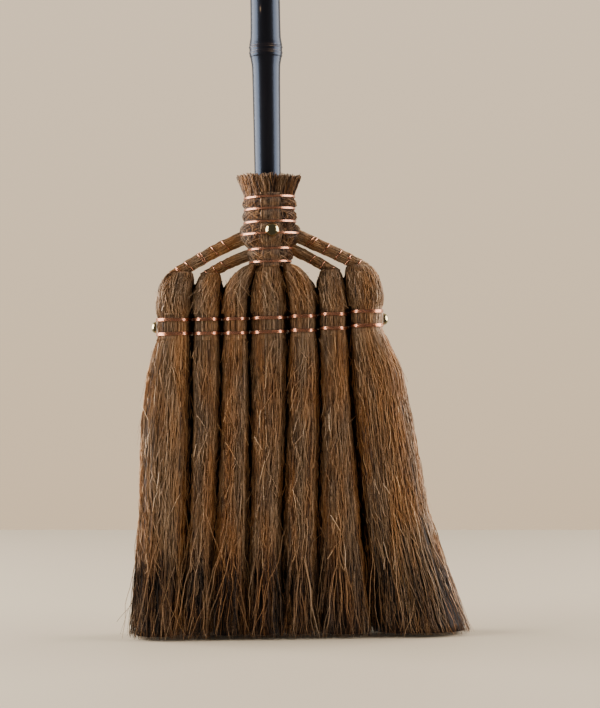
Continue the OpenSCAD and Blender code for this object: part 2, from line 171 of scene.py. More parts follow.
class Piece:
    """Collects closed tubes and skins as arrays, then makes one mesh object of them."""

    def __init__(self, name):
        self.name = name
        self.points = []
        self.tones = []
        self.quads = []
        self.quad_uvs = []
        self.tris = []
        self.tri_uvs = []
        self.count = 0

    def tubes(self, paths, radius, tone, sides=3, across=(0, 1, 0), uv=(0, 0.2, 1, 1)):
        """Closed tubes along paths (tubes, steps, 3); radius and tone fit (tubes, steps)."""
        n, steps, _ = paths.shape
        radius = np.broadcast_to(radius, (n, steps))
        tone = np.broadcast_to(tone, (n, steps))
        ahead = unit(np.gradient(paths, axis=1))
        side = unit(np.cross(ahead, np.asarray(across, float)))
        up = np.cross(side, ahead)
        turn = 2 * math.pi * np.arange(sides) / sides
        ring = (np.cos(turn)[:, None] * side[:, :, None] + np.sin(turn)[:, None] * up[:, :, None])
        points = paths[:, :, None] + radius[:, :, None, None] * ring
        self.points.append(points.reshape(-1, 3))
        self.tones.append(np.repeat(tone.reshape(-1), sides))
        index = self.count + np.arange(n * steps * sides).reshape(n, steps, sides)
        a, b = index[:, :-1], index[:, 1:]
        quads = np.stack([a, b, np.roll(b, -1, 2), np.roll(a, -1, 2)], -1)
        self.quads.append(quads.reshape(-1, 4))
        # One cell of the texture for each tube, which runs along the cell
        columns = max(1, math.ceil(math.sqrt(n * 8)))
        rows = math.ceil(n / columns)
        cell_w = (uv[2] - uv[0]) / columns
        cell_h = (uv[3] - uv[1]) / rows
        u0 = uv[0] + cell_w * (np.arange(n) % columns + 0.1)
        v0 = uv[1] + cell_h * (np.arange(n) // columns + 0.05)
        v = v0[:, None] + 0.9 * cell_h * np.linspace(0, 1, steps)
        u = u0[:, None] + 0.8 * cell_w * np.linspace(0, 1, sides + 1)
        shape = (n, steps - 1, sides)
        low_u = np.broadcast_to(u[:, None, :-1], shape)
        high_u = np.broadcast_to(u[:, None, 1:], shape)
        low_v = np.broadcast_to(v[:, :-1, None], shape)
        high_v = np.broadcast_to(v[:, 1:, None], shape)
        corners = np.stack([low_u, low_v, low_u, high_v, high_u, high_v, high_u, low_v], -1)
        self.quad_uvs.append(corners.reshape(-1, 4, 2))
        for k in range(1, sides - 1):
            first = np.stack([index[:, 0, 0], index[:, 0, k], index[:, 0, k + 1]], -1)
            last = np.stack([index[:, -1, 0], index[:, -1, k + 1], index[:, -1, k]], -1)
            for ends, at in ((first, v0), (last, v0 + 0.9 * cell_h)):
                self.tris.append(ends)
                self.tri_uvs.append(np.repeat(np.stack([u0, at], -1)[:, None], 3, 1))
        self.count += n * steps * sides

    def skin(self, points, tone, uv=(0, 0, 1, 0.18)):
        """A closed skin through rings of points (rings, around, 3), capped at both ends."""
        rings, around, _ = points.shape
        self.points.append(points.reshape(-1, 3))
        self.tones.append(np.broadcast_to(tone, (rings, around)).reshape(-1))
        index = self.count + np.arange(rings * around).reshape(rings, around)
        a, b = index[:-1], index[1:]
        quads = np.stack([a, np.roll(a, -1, 1), np.roll(b, -1, 1), b], -1)
        self.quads.append(quads.reshape(-1, 4))
        u = uv[0] + (uv[2] - uv[0]) * np.linspace(0.01, 0.99, around + 1)
        v = uv[1] + (uv[3] - uv[1]) * np.linspace(0.05, 0.95, rings)
        shape = (rings - 1, around)
        low_u = np.broadcast_to(u[None, :-1], shape)
        high_u = np.broadcast_to(u[None, 1:], shape)
        low_v = np.broadcast_to(v[:-1, None], shape)
        high_v = np.broadcast_to(v[1:, None], shape)
        corners = np.stack([low_u, low_v, high_u, low_v, high_u, high_v, low_u, high_v], -1)
        self.quad_uvs.append(corners.reshape(-1, 4, 2))
        self.count += rings * around
        # Caps: a fan to a middle point at each end
        for ring, at, flip in ((index[0], v[0], True), (index[-1], v[-1], False)):
            end = 0 if flip else -1
            self.points.append(points[end].mean(0)[None])
            self.tones.append(np.broadcast_to(tone, (rings, around))[end].mean()[None])
            hub = np.full(around, self.count)
            pair = (np.roll(ring, -1), ring) if flip else (ring, np.roll(ring, -1))
            self.tris.append(np.stack([pair[0], pair[1], hub], -1))
            self.tri_uvs.append(np.full((around, 3, 2), (u[0], at)))
            self.count += 1

    def make(self, material):
        points = np.concatenate(self.points).astype(np.float32)
        quads = np.concatenate(self.quads)
        tris = np.concatenate(self.tris)
        mesh = bpy.data.meshes.new(self.name)
        mesh.vertices.add(len(points))
        mesh.vertices.foreach_set("co", points.ravel())
        loops = np.concatenate([quads.ravel(), tris.ravel()]).astype(np.int32)
        mesh.loops.add(len(loops))
        mesh.loops.foreach_set("vertex_index", loops)
        faces = len(quads) + len(tris)
        starts = np.concatenate([np.arange(len(quads)) * 4, len(quads) * 4 + np.arange(len(tris)) * 3])
        mesh.polygons.add(faces)
        mesh.polygons.foreach_set("loop_start", starts.astype(np.int32))
        mesh.polygons.foreach_set("use_smooth", np.ones(faces, bool))
        uvs = [np.concatenate(corners).reshape(-1, 2) for corners in (self.quad_uvs, self.tri_uvs)]
        layer = mesh.uv_layers.new(name="OFBake")
        layer.data.foreach_set("uv", np.concatenate(uvs).astype(np.float32).ravel())
        tone = mesh.attributes.new("tone", "FLOAT", "POINT")
        tone.data.foreach_set("value", np.clip(np.concatenate(self.tones), 0, 1).astype(np.float32))
        mesh.materials.append(material)
        mesh.update(calc_edges=True)
        obj = bpy.data.objects.new(self.name, mesh)
        bpy.context.scene.collection.objects.link(obj)
        return obj


# ================================================================ materials
def new_material(name):
    material = bpy.data.materials.new(name)
    material.use_nodes = True
    nodes = material.node_tree.nodes
    return material, nodes, material.node_tree.links, nodes["Principled BSDF"]


def ramp(nodes, links, source, stops):
    node = nodes.new("ShaderNodeValToRGB")
    elements = node.color_ramp.elements
    while len(elements) < len(stops):
        elements.new(0.5)
    for element, (at, colour) in zip(elements, stops):
        element.position = at
        element.color = (*colour, 1)
    links.new(source, node.inputs["Fac"])
    return node.outputs["Color"]


def tone_plus_noise(nodes, links, scale, stretch, share):
    """The mesh's own tone, moved up and down by a fine noise drawn out along Z."""
    tone = nodes.new("ShaderNodeAttribute")
    tone.attribute_name = "tone"
    place = nodes.new("ShaderNodeTexCoord")
    stretched = nodes.new("ShaderNodeMapping")
    stretched.inputs["Scale"].default_value = (scale, scale, scale / stretch)
    links.new(place.outputs["Object"], stretched.inputs["Vector"])
    noise = nodes.new("ShaderNodeTexNoise")
    noise.inputs["Scale"].default_value = 1.0
    noise.inputs["Detail"].default_value = 3.0
    links.new(stretched.outputs["Vector"], noise.inputs["Vector"])
    centred = nodes.new("ShaderNodeMath")
    centred.operation = "MULTIPLY_ADD"
    centred.inputs[1].default_value = share
    centred.inputs[2].default_value = -share / 2
    links.new(noise.outputs["Fac"], centred.inputs[0])
    total = nodes.new("ShaderNodeMath")
    total.operation = "ADD"
    links.new(tone.outputs["Fac"], total.inputs[0])
    links.new(centred.outputs["Value"], total.inputs[1])
    return total.outputs["Value"]


def fibre_material():
    """Palm fibre: nearly black at tone 0, through warm brown, to pale tan at tone 1."""
    material, nodes, links, shader = new_material("palm_fibre")
    value = tone_plus_noise(nodes, links, 1300, 7, 0.4)
    orange = ramp(nodes, links, value, (
        (0.0, (0.010, 0.005, 0.003)),
        (0.25, (0.082, 0.033, 0.011)),
        (0.5, (0.285, 0.126, 0.041)),
        (0.75, (0.51, 0.262, 0.102)),
        (1.0, (0.78, 0.50, 0.26))))
    grey = ramp(nodes, links, value, (
        (0.0, (0.009, 0.006, 0.004)),
        (0.25, (0.068, 0.038, 0.020)),
        (0.5, (0.225, 0.133, 0.070)),
        (0.75, (0.43, 0.275, 0.155)),
        (1.0, (0.72, 0.52, 0.34))))
    place = nodes.new("ShaderNodeTexCoord")
    drawn = nodes.new("ShaderNodeMapping")
    drawn.inputs["Scale"].default_value = (70, 70, 12)
    links.new(place.outputs["Object"], drawn.inputs["Vector"])
    noise = nodes.new("ShaderNodeTexNoise")
    noise.inputs["Scale"].default_value = 1.0
    noise.inputs["Detail"].default_value = 2.0
    links.new(drawn.outputs["Vector"], noise.inputs["Vector"])
    spread = nodes.new("ShaderNodeMapRange")
    spread.inputs["From Min"].default_value = 0.36
    spread.inputs["From Max"].default_value = 0.60
    links.new(noise.outputs["Fac"], spread.inputs["Value"])
    hue = nodes.new("ShaderNodeMix")
    hue.data_type = "RGBA"
    links.new(spread.outputs["Result"], hue.inputs["Factor"])
    links.new(orange, hue.inputs[6])
    links.new(grey, hue.inputs[7])
    links.new(hue.outputs[2], shader.inputs["Base Color"])
    shader.inputs["Roughness"].default_value = 0.58
    shader.inputs["Specular IOR Level"].default_value = 0.3
    return material


def metal_material(name, dark, bright, roughness, scale, metallic=1.0):
    """Drawn metal with faint darker patches where it has tarnished."""
    material, nodes, links, shader = new_material(name)
    value = tone_plus_noise(nodes, links, scale, 1.0, 0.8)
    colour = ramp(nodes, links, value, ((0.2, dark), (0.6, bright)))
    links.new(colour, shader.inputs["Base Color"])
    shader.inputs["Metallic"].default_value = metallic
    shader.inputs["Roughness"].default_value = roughness
    return material


def bamboo_material():
    """Smoked black bamboo, oiled to a gloss: fine streaks along the culm, pale scars at the nodes."""
    material, nodes, links, shader = new_material("black_bamboo")
    value = tone_plus_noise(nodes, links, 420, 30, 0.16)
    colour = ramp(nodes, links, value, (
        (0.0, (0.002, 0.002, 0.002)),
        (0.3, (0.010, 0.009, 0.011)),
        (0.5, (0.030, 0.021, 0.020)),
        (0.75, (0.24, 0.175, 0.105)),
        (1.0, (0.47, 0.37, 0.24))))
    links.new(colour, shader.inputs["Base Color"])
    shader.inputs["Roughness"].default_value = 0.29
    shader.inputs["Specular IOR Level"].default_value = 0.36
    shader.inputs["Specular Tint"].default_value = (0.55, 0.70, 1.0, 1)
    return material


def raw_bamboo_material():
    material, nodes, links, shader = new_material("raw_bamboo")
    place = nodes.new("ShaderNodeTexCoord")
    stretched = nodes.new("ShaderNodeMapping")
    stretched.inputs["Scale"].default_value = (30, 900, 900)
    links.new(place.outputs["Object"], stretched.inputs["Vector"])
    noise = nodes.new("ShaderNodeTexNoise")
    noise.inputs["Scale"].default_value = 1.0
    noise.inputs["Detail"].default_value = 4.0
    links.new(stretched.outputs["Vector"], noise.inputs["Vector"])
    colour = ramp(nodes, links, noise.outputs["Fac"], (
        (0.3, (0.30, 0.19, 0.08)),
        (0.7, (0.56, 0.41, 0.21))))
    links.new(colour, shader.inputs["Base Color"])
    shader.inputs["Roughness"].default_value = 0.5
    return material


FIBRE = fibre_material()
COPPER = metal_material("copper_wire", (0.46, 0.18, 0.09), (0.88, 0.41, 0.24), 0.26, 240, metallic=0.91)
BRASS = metal_material("polished_brass", (0.40, 0.30, 0.12), (0.62, 0.52, 0.28), 0.13, 160)
BLACK_BAMBOO = bamboo_material()
RAW_BAMBOO = raw_bamboo_material()


# ================================================================ reading the CAD solids
def corners_of(node):
    mesh = frame["nodes"][node].data
    co = np.empty(len(mesh.vertices) * 3, np.float32)
    mesh.vertices.foreach_get("co", co)
    return co.reshape(-1, 3).astype(float)


def levels(node, least=16):
    """The rings that a lofted node is made of: rows of z, lowest x, highest x, highest y."""
    co = corners_of(node)
    keys = np.round(co[:, 2] / (0.02 * MM)).astype(int)
    rows = []
    for key in np.unique(keys):
        ring = co[keys == key]
        if len(ring) >= least:
            rows.append((ring[:, 2].mean(), ring[:, 0].min(), ring[:, 0].max(), ring[:, 1].max()))
    return np.array(rows)


class Bundle:
    """Section of one bundle at any height, from the CAD head and skirt."""

    def __init__(self, number):
        self.number = number
        low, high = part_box(f"shoulder_bands_{number}")
        self.low_band = low.z + CAD_BAND_H / 2
        self.high_band = high.z - CAD_BAND_H / 2
        joint = next(j for j in frame["joints"] if j["name"] == f"bristle_flex_{number}")
        hinge = joint["pos_m"][2]
        head = levels(f"head_{number}")
        skirt = levels(f"skirt_{number}")
        skirt = skirt[skirt[:, 0] < hinge - 2 * MM]
        # The round top of the bristles hides part of the rings beside it, so those span at least
        # the straight lines from the last whole ring to the head
        hidden = skirt[:, 0] > hinge - ROUND_TOP
        whole = skirt[~hidden]
        ends = np.stack([whole[-1], head[0]])
        for column, widest in ((1, np.minimum), (2, np.maximum)):
            line = np.interp(skirt[hidden, 0], ends[:, 0], ends[:, column])
            skirt[hidden, column] = widest(skirt[hidden, column], line)
        self.table = np.concatenate([skirt, head])
        self.top = head[-1, 0]
        # The row's two outer bundles are paler, painted light where the side softboxes fall on them fully;
        # their outer flanks meet no other bundle
        self.tone = 0.5 if 1 < number < BUNDLES else 0.57
        self.meets_left = number > 1
        self.meets_right = number < BUNDLES
        # Above this the round heads part, except the middle one's from its neighbours
        self.parting = self.top + 9 * MM if number == MIDDLE_BUNDLE else self.high_band + 37 * MM

    def held(self, z):
        """1 under a binding, falling to 0 a few millimetres away from it."""
        return (np.exp(-((z - self.low_band) / (3 * MM)) ** 2)
                + np.exp(-((z - self.high_band) / (3 * MM)) ** 2))

    def at(self, z):
        """Middle x, half width and half depth at z, pinched in under the two bindings."""
        rows = self.table
        left = np.interp(z, rows[:, 0], rows[:, 1])
        right = np.interp(z, rows[:, 0], rows[:, 2])
        deep = np.interp(z, rows[:, 0], rows[:, 3])
        swell = 0.03 * np.exp(-((z - self.low_band + 15 * MM) / (9 * MM)) ** 2)
        scale = 1.0 - 0.035 * self.held(z) + swell
        return (left + right) / 2, (right - left) / 2 * scale, deep * scale

    def surface(self, angle, z, out, flank=0.0):
        """x and y of a point at an angle and layer; flank is how far its sides swell outwards."""
        middle, half_w, half_y = self.at(z)
        to_band = np.minimum(np.abs(z - self.low_band), np.abs(z - self.high_band))
        swell = flank * (to_band > BAND_COVER) * (1 - smooth_step(self.parting - 9 * MM, self.parting, z))
        across = np.cos(angle)
        meets = np.where(across < 0, -1.0 * self.meets_left, 1.0 * self.meets_right)
        x = middle + half_w * out * signed_power(across) + swell * meets * across ** 8
        y = half_y * out * signed_power(np.sin(angle))
        return x, y

    def draw_in(self, x, y, z):
        """Brings points that stand off the bundle's sides more than halfway back to them."""
        middle, half_w, half_y = self.at(z)
        beyond_x = np.maximum(np.abs(x - middle) - 0.97 * half_w, 0)
        beyond_y = np.maximum(np.abs(y) - half_y, 0)
        return x - 0.6 * np.sign(x - middle) * beyond_x, y - 0.6 * np.sign(y) * beyond_y

    def with_band_edges(self, z):
        """The heights z, with a pair more at each edge of each binding within them."""
        edges = [band + side * (BAND_COVER + gap) for band in (self.low_band, self.high_band)
                 for side in (-1, 1) for gap in (-0.1 * MM, 0.1 * MM)]
        return np.unique(np.concatenate([z, [e for e in edges if z.min() < e < z.max()]]))


def signed_power(v):
    return np.sign(v) * np.abs(v) ** (2 / SECTION_POWER)


def even_angles(rng, bundle, count, z):
    """Random angles whose points lie evenly along the edge of a bundle's section."""
    a = np.linspace(0, 2 * math.pi, 721)
    x, y = bundle.surface(a, np.full(721, z), 1.0)
    run = np.concatenate([[0], np.cumsum(np.hypot(np.diff(x), np.diff(y)))])
    where = (np.arange(count) + rng.uniform(0, 1, count)) / count * run[-1]
    return rng.permutation(np.interp(where, run, a))


def nearest(angle, others):
    """Index of the nearest of the other angles, and the turn to it."""
    turn = np.angle(np.exp(1j * (others - angle[:, None])))
    index = np.argmin(np.abs(turn), 1)
    return index, turn[np.arange(len(angle)), index]


def waves(rng, count, z, lengths, sizes):
    """Sideways waviness (count, steps) along z, each fibre with its own wavelengths and phases."""
    total = np.zeros(z.shape)
    for length, size in zip(lengths, sizes):
        own = length * rng.uniform(0.7, 1.4, (count, 1))
        phase = rng.uniform(0, 2 * math.pi, (count, 1))
        total += size * rng.uniform(0.3, 1.3, (count, 1)) * np.sin(2 * math.pi * z / own + phase)
    return total


def patches(angle, z, seed):
    """Slow change of colour over a bundle, -1 to 1."""
    return (np.sin(3 * angle + z * 37 + seed) * np.sin(z * 61 - 2 * angle + 2.3 * seed)
            + 0.6 * np.sin(7 * angle - z * 83 + 1.7 * seed)) / 1.6


# ================================================================ bundles
def core_skin(bundle, rng, z, scale, tone, around=90):
    """Ridged body of a bundle, seen between the fibres that lie over it, painted dark as shade and black
    at its flanks as painted shade between the bundles.
    """
    angle = 2 * math.pi * np.arange(around) / around
    x, y = bundle.surface(angle[None], z[:, None], np.broadcast_to(scale, z.shape)[:, None], CORE_FLANK)
    x = x + rng.normal(0, 0.25 * MM, (1, around)) * np.abs(np.sin(angle))
    y = y + rng.normal(0, 0.25 * MM, (1, around))
    points = np.stack([x, y, np.broadcast_to(z[:, None], x.shape)], -1)
    # Painted shade: the core darkens to black at its flanks, where it meets the next bundle
    groove = 1 - np.cos(angle) ** 4
    shade = np.broadcast_to(np.asarray(tone), z.shape)[:, None] * groove
    return points, shade


def along_surface(angle):
    """How much a sideways shift moves a fibre in x and in y, so that it stays on its bundle."""
    return 0.2 + 0.8 * np.abs(np.sin(angle)), 0.2 + 0.8 * np.abs(np.cos(angle))


def skirt_fibres(bundle, rng):
    """Free bristles of a bundle, from under the lower binding to the trimmed tips."""
    piece = Piece(f"bristles_{bundle.number}")
    top = bundle.low_band + 1.5 * MM
    foot = 3.5 * MM
    bend = 240 * MM
    z = bundle.with_band_edges(np.concatenate([np.linspace(foot, bend, 36),
                                               np.linspace(bend + 6 * MM, top, 8)]))
    inset = 3.4 * MM - 2.5 * MM * smooth_step(0.0, 0.10, z)
    # The core's painted shade turns black towards the floor
    points, shade = core_skin(bundle, rng, z, 1 - inset / bundle.at(z)[1],
                              0.22 * smooth_step(0.06, 0.13, z))
    piece.skin(points, shade)
    _, half_w, half_y = bundle.at(0.06)
    fullness = np.clip((half_w + half_y) / (52 * MM), 0.8, 1.0)
    count = round(LONG_BRISTLES * fullness)
    layer = 1 - 0.07 * rng.uniform(0, 1, count) ** 1.4
    add_bristles(piece, bundle, rng, Locks(rng, bundle, 50, 0.6), 44, top, layer)
    count = round(TIP_BRISTLES * fullness)
    layer = rng.uniform(0.72, 0.99, count)
    add_bristles(piece, bundle, rng, Locks(rng, bundle, 60, 0.65), 14, TIP_BRISTLES_TOP, layer)
    add_crossing(piece, bundle, rng, SKIRT_CROSSINGS, 60 * MM, bundle.low_band - 8 * MM)
    add_strays(piece, bundle, rng, STRAYS)
    add_fuzz(piece, bundle, rng, FUZZ)
    return piece


class Locks:
    """Tapering locks that the fibres of one bundle gather in towards the floor."""

    def __init__(self, rng, bundle, count, dark_share):
        self.angle = np.sort(even_angles(rng, bundle, count, 0.03))
        self.gather = rng.uniform(0.55, 0.97, count)
        self.start = rng.uniform(0.07, 0.125, count)
        self.lean_x = rng.normal(0, 4.5 * MM, count)
        self.lean_y = rng.normal(0, 2.6 * MM, count)
        self.tip = np.where(rng.uniform(0, 1, count) < 0.25, rng.uniform(5 * MM, 40 * MM, count),
                            rng.uniform(0.6 * MM, 3 * MM, count))
        self.phase = rng.uniform(0, 2 * math.pi, count)
        self.length = rng.uniform(0.035, 0.07, count)
        self.size = rng.uniform(0.4, 1.9, count) * MM
        self.tone = rng.normal(0.05, 0.07, count)
        self.dark = np.where(rng.uniform(0, 1, count) < dark_share, rng.uniform(0.3, 0.5, count),
                             rng.uniform(0.0, 0.16, count))


def add_bristles(piece, bundle, rng, locks, steps, top, layer):
    """One fibre for each layer given, gathered in locks below."""
    count = len(layer)
    angle = even_angles(rng, bundle, count, 0.1)
    lock, turn = nearest(angle, locks.angle)
    tip = locks.tip[lock] + rng.exponential(1.6 * MM, count)
    t = np.linspace(0, 1, steps)[None]
    z = top + (np.minimum(tip, 0.085)[:, None] - top) * t
    start = locks.start[lock][:, None]
    low = np.clip((start - z) / start, 0, 1)
    pull = smooth_step(0, 0.75, low) * locks.gather[lock][:, None] * rng.uniform(0.75, 1, (count, 1))
    drift = np.radians(rng.normal(0, 7, (count, 1))) * t
    a = angle[:, None] + drift + turn[:, None] * pull
    loose = 0.1 + 0.9 * smooth_step(bundle.low_band - 3 * MM, bundle.low_band - 30 * MM, z)
    out = layer[:, None] + loose * waves(rng, count, z, (0.030, 0.016), (0.013, 0.009))
    x, y = bundle.surface(a, z, out)
    sway = locks.size[lock][:, None] * np.sin(2 * math.pi * z / locks.length[lock][:, None]
                                             + locks.phase[lock][:, None])
    stray = np.where(rng.uniform(0, 1, (count, 1)) < 0.12, 3.5, 1.0)
    bend = low ** 1.4
    x += bend * (locks.lean_x[lock][:, None] + sway + stray * rng.normal(0, 1.4 * MM, (count, 1)))
    y += bend * (locks.lean_y[lock][:, None] + sway + stray * rng.normal(0, 1.1 * MM, (count, 1)))
    share_x, share_y = along_surface(a)
    x += share_x * loose * waves(rng, count, z, (0.05, 0.024, 0.0135), (0.75 * MM, 0.5 * MM, 0.32 * MM))
    y += share_y * loose * waves(rng, count, z, (0.05, 0.024, 0.0135), (0.75 * MM, 0.5 * MM, 0.32 * MM))
    x, y = bundle.draw_in(x, y, z)
    tone = bundle.tone + rng.normal(0, 0.125, (count, 1)) + 0.07 * patches(a, z, bundle.number)
    # Painted shade: fibres that lie deeper in the bundle are darker
    tone = tone + low * locks.tone[lock][:, None] - 1.3 * np.clip(0.97 - out, 0, 0.16)
    # The locks darken towards the tips: partly their own colour, partly painted shade near the floor
    tone = tone - locks.dark[lock][:, None] * smooth_step(DARK_FROM, DARK_FULL, z)
    thick = FIBRE_R * rng.uniform(0.75, 1.25, (count, 1)) * (1 - 0.5 * smooth_step(0.85, 1, t))
    piece.tubes(np.stack([x, y, z], -1), thick, tone)


def add_crossing(piece, bundle, rng, count, low, high):
    """Short lengths of fibre that surface, cross their neighbours at a slant and dive again."""
    t = np.linspace(-1, 1, 6)[None]
    half = rng.uniform(4 * MM, 13 * MM, (count, 1))
    z = np.clip(rng.uniform(low, high, (count, 1)) + half * t, low, high)
    slant = np.tan(np.radians(rng.normal(0, 15, (count, 1)) + 9 * np.sin(z * 41 + bundle.number)))
    a = even_angles(rng, bundle, count, (low + high) / 2)[:, None] + 0 * z
    out = 1.02 - 0.05 * t ** 2 + rng.normal(0, 0.008, (count, 1))
    x, y = bundle.surface(a, z, out)
    shift = slant * half * t + waves(rng, count, z, (0.015,), (0.4 * MM,))
    # Along the surface: sideways on the front and back, to and fro on the flanks
    x += shift * np.abs(np.sin(a))
    y += shift * np.abs(np.cos(a)) * 0.6
    tone = bundle.tone + 0.05 + rng.normal(0, 0.155, (count, 1)) + 0.07 * patches(a, z, bundle.number)
    piece.tubes(np.stack([x, y, z], -1), FIBRE_R * rng.uniform(0.7, 1.1, (count, 1)), tone)


def add_strays(piece, bundle, rng, count):
    """Single fibres that leave the bundle near the floor and cross the locks."""
    t = np.linspace(0, 1, 14)[None]
    start = rng.uniform(0.045, 0.13, (count, 1))
    end = np.where(rng.uniform(0, 1, (count, 1)) < 0.7, rng.uniform(0.6 * MM, 3 * MM, (count, 1)),
                   rng.uniform(5 * MM, 30 * MM, (count, 1)))
    z = start + (end - start) * t
    a = even_angles(rng, bundle, count, 0.05)[:, None] + 0 * z
    x, y = bundle.surface(a, z, 1.0)
    across = rng.normal(0, 0.2, (count, 1)) * (start - z) + rng.normal(0, 7 * MM, (count, 1)) * t ** 2
    outward = rng.uniform(0.3 * MM, 3 * MM, (count, 1)) * t ** 1.5
    x += across * np.abs(np.sin(a)) + outward * np.cos(a)
    y += across * np.abs(np.cos(a)) * 0.5 + outward * np.sin(a)
    x += waves(rng, count, z, (0.05, 0.02), (1.2 * MM, 0.4 * MM))
    tone = 0.62 + rng.normal(0, 0.13, (count, 1)) + 0 * z
    thick = FIBRE_R * rng.uniform(0.9, 1.3, (count, 1)) * (1 - 0.5 * t ** 3)
    piece.tubes(np.stack([x, y, z], -1), thick, tone)


def add_fuzz(piece, bundle, rng, count):
    """Fine loose ends that stand off the surface."""
    t = np.linspace(0, 1, 10)[None]
    start = rng.uniform(0.04, bundle.low_band - 12 * MM, (count, 1))
    z = start - rng.uniform(14 * MM, 36 * MM, (count, 1)) * t
    a = even_angles(rng, bundle, count, 0.15)[:, None] + 0 * z
    x, y = bundle.surface(a, z, 0.99)
    off = rng.uniform(1.2 * MM, 4 * MM, (count, 1)) * t ** 1.6
    x += off * np.cos(a) + rng.normal(0, 3 * MM, (count, 1)) * t ** 2 * np.abs(np.sin(a))
    y += off * np.sin(a)
    tone = 0.66 + rng.normal(0, 0.1, (count, 1)) + 0 * z
    piece.tubes(np.stack([x, y, z], -1), 0.6 * FIBRE_R * (1 - 0.5 * t), tone)


def head_fibres(bundle, rng):
    """Bound head of a bundle: fibres combed from its tail, over the dome, to the lower binding."""
    piece = Piece(f"head_{bundle.number}_fibres")
    foot = bundle.low_band - 6 * MM
    u = 1 - (1 - np.linspace(0, 1, 30)) ** 1.7
    heights = bundle.with_band_edges(foot + (bundle.top - foot) * u)
    points, shade = core_skin(bundle, rng, heights, 0.95, 0.22)
    piece.skin(points, shade)
    count = HEAD_FIBRES
    angle = even_angles(rng, bundle, count, bundle.high_band + 12 * MM)
    t = np.linspace(0, 1, 32)[None]
    z = foot + (bundle.top - foot) * (1 - t ** 1.7) + 0 * angle[:, None]
    a = angle[:, None] + np.radians(rng.normal(0, 10, (count, 1))) * (t - 0.5)
    free = np.clip(1 - bundle.held(z), 0.12, 1)
    out = 1.0 - 0.08 * rng.uniform(0, 1, (count, 1)) ** 1.5
    out = out + free * waves(rng, count, z, (0.02, 0.011), (0.018, 0.012))
    x, y = bundle.surface(a, z, out)
    share_x, share_y = along_surface(a)
    x += share_x * free * waves(rng, count, z, (0.03, 0.016, 0.009), (0.45 * MM, 0.35 * MM, 0.2 * MM))
    y += share_y * free * waves(rng, count, z, (0.03, 0.016, 0.009), (0.45 * MM, 0.35 * MM, 0.2 * MM))
    tone = 0.53 + rng.normal(0, 0.13, (count, 1)) + 0.07 * patches(a, z, bundle.number + 9)
    # Painted shade: fibres that lie deeper in the head are darker
    tone = tone - 1.1 * np.clip(0.98 - out, 0, 0.2)
    piece.tubes(np.stack([x, y, z], -1), FIBRE_R * rng.uniform(0.75, 1.25, (count, 1)), tone)
    add_crossing(piece, bundle, rng, HEAD_CROSSINGS, bundle.high_band + 5 * MM, bundle.top - 7 * MM)
    return piece


def wound_wire(piece, centre, half_w, half_y, low, high, turns, tilt=0.0, power=2.0):
    """A wire wound turn by turn from low to high round a section; tilt is rise over run along X."""
    steps = turns * 56 + 1
    a = np.linspace(0, 2 * math.pi * turns, steps) + math.pi / 2
    x = half_w * np.sign(np.cos(a)) * np.abs(np.cos(a)) ** (2 / power)
    y = half_y * np.sign(np.sin(a)) * np.abs(np.sin(a)) ** (2 / power)
    z = np.linspace(low, high, steps) + tilt * x
    piece.tubes(np.stack([centre + x, y, z], -1)[None], WIRE_R, 0.5, sides=8, across=(0, 0, 1),
                uv=(0, 0, 1, 1))


def shoulder_windings(bundle, rng):
    low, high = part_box(f"shoulder_bands_{bundle.number}")
    piece = Piece(f"shoulder_wire_{bundle.number}")
    half_w = (high.x - low.x) / 2 - WIRE_R + 0.25 * MM
    half_y = (high.y - low.y) / 2 - WIRE_R
    reach = WIRE_R * (SHOULDER_TURNS - 1)
    for z in (bundle.low_band, bundle.high_band):
        wound_wire(piece, (low.x + high.x) / 2, half_w, half_y, z - reach, z + reach, SHOULDER_TURNS,
                   tilt=rng.normal(0, 0.012), power=SECTION_POWER)
    return piece


# ================================================================ neck
def neck_outline():
    """Heights and radii of the neck's surface, from the CAD solid."""
    co = corners_of("neck_wrap")
    r = np.hypot(co[:, 0], co[:, 1])
    keys = np.round(co[:, 2] / (0.05 * MM)).astype(int)
    rows = []
    for key in np.unique(keys):
        widest = r[keys == key].max()
        if widest > 16 * MM:
            rows.append((key * 0.05 * MM, widest))
    return np.array(rows)


NECK = neck_outline()
NECK_FOOT = NECK[0, 0]
NECK_TOP = NECK[-1, 0]
CULM_R = 11.6 * MM
RIDGE_R = 15 * MM


BAND_MIDDLES = [sum(corner.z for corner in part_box(f"neck_band_{number}")) / 2 for number in range(1, 7)]


def neck_r(z):
    return np.interp(z, NECK[:, 0], NECK[:, 1])


def neck_free(z):
    """0 under the neck's bindings, 1 a few millimetres away from them."""
    away = np.min(np.abs(np.asarray(z)[..., None] - BAND_MIDDLES), -1)
    return smooth_step(1.2 * MM, 3 * MM, away)


def round_neck(radius, angle, z):
    return np.stack([NECK_X + radius * np.cos(angle), radius * np.sin(angle),
                     np.broadcast_to(z, np.shape(radius * angle))], -1)


def upright_fibres(piece, rng, angle, low, high, layer, steps, wave, drift, tone):
    """Fibres lying up the neck's surface between two heights."""
    count = len(angle)
    t = np.linspace(0, 1, steps)[None]
    z = low + (high - low) * t + 0 * angle[:, None]
    a = angle[:, None] + np.radians(drift) * rng.normal(0, 1, (count, 1)) * (t - 0.5)
    a = a + waves(rng, count, z, (0.018, 0.009), (wave, 0.7 * wave)) / NECK_MEAN_R
    free = neck_free(z)
    layer = 0.99 + (layer[:, None] - 0.99) * free
    r = neck_r(z) * layer + free * waves(rng, count, z, (0.015, 0.008), (0.6 * wave, 0.4 * wave))
    # Painted shade: fibres deeper in the neck are darker, and all are darker under the bindings
    shade = tone + rng.normal(0, 0.2, (count, 1)) - 1.4 * np.clip(1.0 - r / neck_r(z), 0, 0.2)
    shade = shade - 0.12 * (1 - free)
    piece.tubes(round_neck(r, a, z), FIBRE_R * rng.uniform(0.75, 1.25, (count, 1)), shade)


